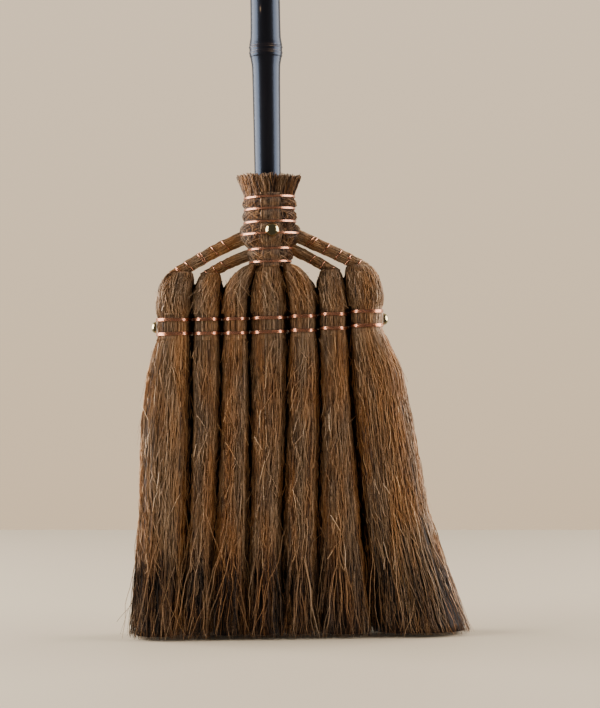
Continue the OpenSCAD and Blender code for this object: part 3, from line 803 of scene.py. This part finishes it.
def neck_fibres(rng):
    """Coarse curly fibre round the neck."""
    piece = Piece("neck_fibres")
    z = np.linspace(NECK_FOOT, NECK_TOP, 60)[:, None]
    around = 120
    angle = 2 * math.pi * np.arange(around) / around
    r = neck_r(z) * 0.93 + rng.normal(0, 0.35 * MM, (1, around))
    # A near-black under-skin: painted shade between the fibres
    piece.skin(round_neck(r, angle, z), 0.08 + 0 * r)
    angle = rng.uniform(0, 2 * math.pi, NECK_FIBRES)
    layer = 1.0 - 0.06 * rng.uniform(0, 1, NECK_FIBRES)
    upright_fibres(piece, rng, angle, NECK_FOOT - 2 * MM, NECK_TOP + 1 * MM, layer, 38, 0.5 * MM, 18, 0.30)
    # Short curls that cross the others between two bindings
    for number in range(1, 6):
        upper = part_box(f"neck_band_{number}")[0].z
        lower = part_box(f"neck_band_{number + 1}")[1].z
        angle = rng.uniform(0, 2 * math.pi, NECK_CURLS)
        layer = 1.0 + 0.025 * rng.uniform(-1, 1, NECK_CURLS)
        upright_fibres(piece, rng, angle, lower - 1 * MM, upper + 1 * MM, layer, 12, 0.9 * MM, 42, 0.36)
    return piece


def front_strip(rng):
    """Smooth tail of the centre bundle, laid up the front of the neck."""
    piece = Piece("centre_tail_fibres")
    middle = -math.pi / 2 + (STRIP_X - NECK_X) / NECK_MEAN_R
    half = STRIP_HALF_W / STRIP_R
    z = np.linspace(NECK_FOOT - 1 * MM, NECK_TOP + 1 * MM, 40)[:, None]
    fan = middle + np.linspace(-half, half, 26)
    outer = round_neck(neck_r(z) * (0.98 + 0.02 * neck_free(z)), fan, z)
    inner = round_neck(neck_r(z) * 0.92, fan, z)
    piece.skin(np.concatenate([outer, inner[:, ::-1]], 1), 0.28)
    angle = middle + half * rng.uniform(-1, 1, STRIP_FIBRES)
    layer = 1.04 - 0.02 * rng.uniform(0, 1, STRIP_FIBRES)
    upright_fibres(piece, rng, angle, NECK_FOOT - 3 * MM, NECK_TOP + 1 * MM, layer, 30, 0.14 * MM, 4, 0.32)
    return piece


def collar_fibres(rng):
    """Cut fibre ends that flare round the handle above the top binding."""
    low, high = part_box("collar")
    rim = (high.x - low.x) / 2 + 0.5 * MM
    piece = Piece("collar_fibres")
    count = COLLAR_FIBRES
    start = NECK_TOP - 2 * MM
    tufts = np.sort(rng.uniform(0, 2 * math.pi, COLLAR_TUFTS))
    tuft_end = rng.normal(0, 0.7 * MM, COLLAR_TUFTS)
    angle = rng.uniform(0, 2 * math.pi, count)
    tuft, turn = nearest(angle, tufts)
    share = rng.uniform(0, 1, count) ** 0.55
    end = high.z - 0.6 * MM + tuft_end[tuft] - rng.exponential(0.9 * MM, count) - 3 * MM * (1 - share)
    t = np.linspace(0, 1, 12)[None]
    z = start + (end[:, None] - start) * t
    foot_r = CULM_R + 0.6 * MM + (neck_r(NECK_TOP) - CULM_R - 0.6 * MM) * share
    rim_r = CULM_R + 1.5 * MM + (rim - CULM_R - 1.5 * MM) * share * rng.uniform(0.92, 1.04, count)
    r = foot_r[:, None] + (rim_r - foot_r)[:, None] * t ** 1.15
    r = r + t * waves(rng, count, z, (0.014, 0.007), (0.45 * MM, 0.3 * MM))
    a = angle[:, None] + (np.radians(rng.normal(0, 5, (count, 1))) + 0.3 * turn[:, None]) * t
    a = a + t * waves(rng, count, z, (0.014, 0.007), (0.5 * MM, 0.3 * MM)) / NECK_MEAN_R
    # Painted shade: fibres lying further in are darker, and so are those between the tufts
    tone = 0.43 + rng.normal(0, 0.15, (count, 1)) + 0.16 * (share[:, None] - 0.6) + 0.05 * t
    tone = tone - 0.12 * np.abs(turn[:, None]) / 0.07
    piece.tubes(round_neck(r, a, z), FIBRE_R * rng.uniform(0.8, 1.3, (count, 1)), tone)
    z = np.linspace(start, high.z - 5 * MM, 8)[:, None]
    radius = np.interp(z, [start, high.z], [neck_r(NECK_TOP) * 0.93, rim * 0.86])
    piece.skin(round_neck(radius, np.linspace(0, 2 * math.pi, 72, endpoint=False), z), 0.32)
    return piece


def neck_winding(number, rng):
    low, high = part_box(f"neck_band_{number}")
    piece = Piece(f"neck_wire_{number}")
    radius = (high.x - low.x) / 2 - WIRE_R
    wound_wire(piece, NECK_X, radius, radius, low.z + WIRE_R, high.z - WIRE_R, NECK_TURNS,
               tilt=0.018 + rng.normal(0, 0.004))
    return piece


# ================================================================ arms
def bezier(points, t):
    p = [np.asarray(q, float) for q in points]
    t = np.asarray(t)[..., None]
    return ((1 - t) ** 3 * p[0] + 3 * t * (1 - t) ** 2 * p[1]
            + 3 * t ** 2 * (1 - t) * p[2] + t ** 3 * p[3])


def arm_curve(side, head_top, start, bend, reach):
    """Curve of an arm's middle: from the neck to a point inside the head that it is tied to."""
    end = np.array((side * (head_top[0] + ARM_PAST[0]), 0, head_top[1] - ARM_PAST[1]))
    slope = np.array((-side * math.cos(ARM_SLOPE), 0, math.sin(ARM_SLOPE)))
    points = ((side * start[0], 0, start[1]), (side * bend[0], 0, bend[1]), end + reach * slope, end)
    return MM * np.array(points)


def round_curve(curve, t, radius, angle):
    """Points at an angle round a curve in the XZ plane; angle 0 is above it."""
    ahead = unit(bezier(curve, np.minimum(t + 0.01, 1)) - bezier(curve, np.maximum(t - 0.01, 0)))
    side = np.array((0.0, 1.0, 0.0))
    up = np.cross(ahead, side)
    up = up * np.sign(up[..., 2:])
    radius = np.asarray(radius)[..., None]
    return bezier(curve, t) + radius * (np.cos(angle)[..., None] * up + np.sin(angle)[..., None] * side)


def arm_radius(radius, t):
    return radius * (1 + 0.18 * (1 - t) ** 3 + 0.03 * np.sin(47 * t) + 0.02 * np.sin(21 * t + 1))


def arm_fibres(name, curve, radius, rng):
    piece = Piece(name)
    t, around = np.meshgrid(np.linspace(0, 1, 30), 2 * math.pi * np.arange(40) / 40, indexing="ij")
    size = arm_radius(radius, t) * 0.9 + rng.normal(0, 0.12 * MM, (1, 40))
    turn = around if curve[-1][0] < 0 else -around
    # A dark under-skin: painted shade between the fibres
    piece.skin(round_curve(curve, t, size, turn), 0.18)
    count = ARM_FIBRES
    t = np.broadcast_to(np.linspace(0, 1, 26)[None], (count, 26))
    angle = rng.uniform(0, 2 * math.pi, (count, 1)) + np.radians(rng.normal(12, 18, (count, 1))) * t
    size = arm_radius(radius, t) * (1.0 - 0.1 * rng.uniform(0, 1, (count, 1)))
    size = size + waves(rng, count, t * 0.07, (0.02, 0.009), (0.3 * MM, 0.2 * MM))
    tone = 0.5 + rng.normal(0, 0.15, (count, 1)) + 0 * t
    piece.tubes(round_curve(curve, t, size, angle), FIBRE_R * rng.uniform(0.75, 1.25, (count, 1)), tone)
    return piece


def arm_wire(name, curve, radius, places, rng):
    """Single turns of copper wire pulled tight round an arm, each at its own slant."""
    piece = Piece(name)
    for place in places:
        angle = np.linspace(0, 2.1 * math.pi, 50) + rng.uniform(0, 2 * math.pi)
        slant = rng.normal(0.016, 0.014)
        t = place + slant * np.cos(angle) + 0.01 * np.linspace(-1, 1, 50)
        path = round_curve(curve, t, arm_radius(radius, t) + WIRE_R * 0.7, angle)[None]
        piece.tubes(path, WIRE_R, 0.5, sides=8, across=(0, 0, 1), uv=(0, 0, 1, 1))
    return piece


# ================================================================ handle and tacks
def handle_piece(rng):
    """The culm as one turned skin: the CAD outline, with slight growth ripples and node scars."""
    co = corners_of("handle")
    r = np.hypot(co[:, 0], co[:, 1])
    keys = np.round(co[:, 2] / (0.1 * MM)).astype(int)
    rows = np.array([(key * 0.1 * MM, r[keys == key].max()) for key in np.unique(keys)])
    # The outer surface, and the tops of the node ridges on it
    rows = rows[rows[:, 1] > 11 * MM]
    ridge = rows[rows[:, 1] > RIDGE_R - 0.1 * MM, 0]
    scars = np.arange(-5, 5.1, 0.5) * MM
    nick_z = 556.5 * MM
    z = np.unique(np.concatenate([rows[:, 0], np.arange(rows[0, 0], rows[-1, 0], 4 * MM),
                                  (ridge[:, None] + scars).ravel(), nick_z + 2 * scars]))
    z = z[(z >= rows[0, 0]) & (z <= rows[-1, 0])]
    outline = np.interp(z, rows[:, 0], rows[:, 1])
    near = np.min(np.abs(z[:, None] - ridge), 1)
    # The groove between a node's two ridges is nearly full of dried sheath
    outline = np.where(near < 3 * MM, np.maximum(outline, (RIDGE_R - 0.45 * MM) * (outline > 13.8 * MM)),
                       np.minimum(outline + 0.9 * MM * np.exp(-near / (9 * MM)), RIDGE_R))
    around = 96
    angle = 2 * math.pi * np.arange(around) / around
    wobble = z[:, None] + 0.5 * MM * np.sin(2 * angle + 0.7) + 0.5 * MM * np.cos(angle)
    near = np.min(np.abs(wobble[:, :, None] - ridge), 2)
    tone = 0.26 + 0.04 * np.sin(z * 31)[:, None] + 0 * angle
    line = np.exp(-((near - 0.9 * MM) / (0.35 * MM)) ** 2)
    band = np.exp(-(near / (2.2 * MM)) ** 2)
    patchy = 0.6 + 0.4 * np.sin(5 * angle + 1) + rng.normal(0, 0.1, (len(z), around))
    tone = tone + 0.46 * line * patchy + 0.05 * band
    # A small nick in the skin above the lowest node
    nick = np.exp(-((angle - 4.4) / 0.06) ** 2 - ((z[:, None] - nick_z) / (3.5 * MM)) ** 2)
    tone = tone + 0.6 * nick
    r = outline[:, None] * (1 + 0.004 * np.sin(2 * angle + z[:, None] * 3)
                            + 0.0025 * np.sin(3 * angle + z[:, None] * 7))
    points = np.stack([r * np.cos(angle), r * np.sin(angle), np.broadcast_to(z[:, None], r.shape)], -1)
    piece = Piece("bamboo_handle")
    piece.skin(points, tone, uv=(0, 0, 1, 1))
    return piece


def drill(obj, at, radius):
    """Cuts a round hole along Y right through obj."""
    bpy.ops.mesh.primitive_cylinder_add(vertices=32, radius=radius, depth=60 * MM, location=at,
                                        rotation=(math.pi / 2, 0, 0))
    tool = bpy.context.object
    cut = obj.modifiers.new("hole", "BOOLEAN")
    cut.operation = "DIFFERENCE"
    cut.object = tool
    cut.solver = "EXACT"
    bpy.context.view_layer.objects.active = obj
    bpy.ops.object.modifier_apply(modifier="hole")
    bpy.data.objects.remove(tool)


def dome_tack(name, node, towards):
    """A domed head with a thin turned rim, over the CAD tack's own dome."""
    low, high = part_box(node)
    towards = np.array(towards, float)
    axis = int(np.argmax(np.abs(towards)))
    others = [k for k in range(3) if k != axis]
    radius = max((high[k] - low[k]) / 2 for k in others)
    base = np.array([(low[k] + high[k]) / 2 for k in range(3)])
    rise = 0.8 * radius
    peak = high[axis] if towards[axis] > 0 else low[axis]
    base[axis] = peak - towards[axis] * rise
    outline = [(radius * 0.9, -0.3 * MM), (radius, 0.0), (radius * 0.985, 0.35 * MM)]
    for k in range(1, 17):
        a = math.pi / 2 * k / 16
        outline.append((radius * 0.95 * math.cos(a) + 0.02 * MM,
                        0.4 * MM + (rise - 0.4 * MM) * math.sin(a)))
    outline = np.array(outline)
    ring = 2 * math.pi * np.arange(48) / 48
    flat_a = np.zeros(3)
    flat_a[others[0]] = 1
    flat_b = np.cross(towards, flat_a)
    around = np.cos(ring)[:, None] * flat_a + np.sin(ring)[:, None] * flat_b
    points = base + outline[:, 1, None, None] * towards + outline[:, 0, None, None] * around
    piece = Piece(name)
    piece.skin(points, 0.5, uv=(0, 0, 1, 1))
    return piece


# ================================================================ building
def fix(piece, material, node):
    """Puts a piece on the root body in place of its CAD node."""
    obj = piece.make(material)
    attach(obj, ROOT)
    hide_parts(node)


rng = np.random.default_rng(7)
bundles = [Bundle(number) for number in range(1, BUNDLES + 1)]

handle = handle_piece(rng).make(BLACK_BAMBOO)
drill(handle, (0, 0, CAD_BOX[1].z - HANG_HOLE_DROP), HANG_HOLE_R)
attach(handle, ROOT)
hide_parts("handle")

for bundle in bundles:
    number = bundle.number
    fix(head_fibres(bundle, rng), FIBRE, f"head_{number}")
    fix(shoulder_windings(bundle, rng), COPPER, f"shoulder_bands_{number}")
    bristles = skirt_fibres(bundle, rng).make(FIBRE)
    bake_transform(bristles)
    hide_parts(f"skirt_{number}")

fix(neck_fibres(rng), FIBRE, "neck_wrap")
fix(front_strip(rng), FIBRE, "centre_tail")
fix(collar_fibres(rng), FIBRE, "collar")
for number in range(1, 7):
    fix(neck_winding(number, rng), COPPER, f"neck_band_{number}")

for name, (side, head_top, start, bend, reach, radius, turns) in ARMS.items():
    curve = arm_curve(side, head_top, start, bend, reach)
    fix(arm_fibres(f"{name}_fibres", curve, radius * MM, rng), FIBRE, name)
    wire = name.replace("arm", "wire")
    fix(arm_wire(f"{wire}_turns", curve, radius * MM, turns, rng), COPPER, wire)

for name, towards in (("front_tack", (0, -1, 0)), ("left_tack", (-1, 0, 0)), ("right_tack", (1, 0, 0))):
    fix(dome_tack(f"{name}_dome", name, towards), BRASS, name)

skewer = frame["nodes"]["skewer"]
skewer.data.materials.clear()
skewer.data.materials.append(RAW_BAMBOO)


# ================================================================ stage, light and camera
def plain_material(name, colour, roughness):
    material, nodes, links, shader = new_material(name)
    shader.inputs["Base Color"].default_value = (*colour, 1)
    shader.inputs["Roughness"].default_value = roughness
    return material


def panel(name, corners, material):
    mesh = bpy.data.meshes.new(name)
    mesh.from_pydata(corners, [], [(0, 1, 2, 3)])
    mesh.materials.append(material)
    obj = bpy.data.objects.new(name, mesh)
    bpy.context.scene.collection.objects.link(obj)
    return obj


def soft_light(name, place, aim, width, height, power, colour):
    data = bpy.data.lights.new(name, "AREA")
    data.shape = "RECTANGLE"
    data.size = width
    data.size_y = height
    data.energy = power
    data.color = colour
    obj = bpy.data.objects.new(name, data)
    obj.location = place
    direction = Vector(aim) - Vector(place)
    obj.rotation_euler = direction.to_track_quat("-Z", "Y").to_euler()
    bpy.context.scene.collection.objects.link(obj)
    return obj


def side_softbox(name, side, radiance, colour):
    """Large softbox square to the X axis, reaching from before the broom to behind it."""
    width = SOFTBOX_FRONT_BACK[1] - SOFTBOX_FRONT_BACK[0]
    middle = sum(SOFTBOX_FRONT_BACK) / 2
    place = (side * SOFTBOX_X, middle, SOFTBOX_Z)
    power = radiance * math.pi * width * SOFTBOX_H
    light = soft_light(name, place, (0, middle, SOFTBOX_Z), width, SOFTBOX_H, power, colour)
    light.visible_camera = False


def room_world():
    """Plain pale room: the camera sees a pale wall, brighter towards the top as painted light; the broom
    is lit brightest from that side.
    """
    world = bpy.data.worlds.new("soft_room")
    world.use_nodes = True
    nodes = world.node_tree.nodes
    links = world.node_tree.links
    place = nodes.new("ShaderNodeTexCoord")
    axes = nodes.new("ShaderNodeSeparateXYZ")
    links.new(place.outputs["Generated"], axes.inputs["Vector"])
    share = nodes.new("ShaderNodeMapRange")
    share.inputs["From Min"].default_value = -1.0
    links.new(axes.outputs["Y"], share.inputs["Value"])
    light = ramp(nodes, links, share.outputs["Result"], (
        (0.0, ROOM_FRONT), (0.45, ROOM_FRONT), (0.75, ROOM_BACK), (1.0, ROOM_BACK)))
    room = nodes["Background"]
    links.new(light, room.inputs["Color"])
    # Painted light: the wall brightens towards the top
    height = nodes.new("ShaderNodeMapRange")
    height.inputs["From Min"].default_value = -0.1
    height.inputs["From Max"].default_value = 0.2
    links.new(axes.outputs["Z"], height.inputs["Value"])
    wall = nodes.new("ShaderNodeBackground")
    links.new(ramp(nodes, links, height.outputs["Result"], ((0.0, WALL_LOW), (1.0, WALL_HIGH))),
              wall.inputs["Color"])
    seen = nodes.new("ShaderNodeLightPath")
    either = nodes.new("ShaderNodeMixShader")
    links.new(seen.outputs["Is Camera Ray"], either.inputs["Fac"])
    links.new(room.outputs["Background"], either.inputs[1])
    links.new(wall.outputs["Background"], either.inputs[2])
    links.new(either.outputs["Shader"], nodes["World Output"].inputs["Surface"])
    return world


floor = panel("floor", [(-FLOOR_HALF_W, FLOOR_FRONT, 0), (FLOOR_HALF_W, FLOOR_FRONT, 0),
                        (FLOOR_HALF_W, FLOOR_BACK + FLOOR_SKEW * FLOOR_HALF_W, 0),
                        (-FLOOR_HALF_W, FLOOR_BACK - FLOOR_SKEW * FLOOR_HALF_W, 0)],
              plain_material("pale_floor", (0.66, 0.54, 0.385), 0.6))
# The room in front of the broom is dark, so gloss doesn't show the floor
floor.visible_glossy = False
side_softbox("left_softbox", -1, 11.6, (1.0, 0.99, 0.98))
side_softbox("right_softbox", 1, 9.0, (1.0, 0.97, 0.95))
bpy.context.scene.world = room_world()

camera_data = bpy.data.cameras.new("camera")
camera_data.lens = CAMERA_LENS
camera = bpy.data.objects.new("camera", camera_data)
camera.location = (CAMERA_X, -CAMERA_DISTANCE, CAMERA_Z)
camera.rotation_euler = (math.pi / 2, CAMERA_ROLL, 0)
bpy.context.scene.collection.objects.link(camera)
bpy.context.scene.camera = camera
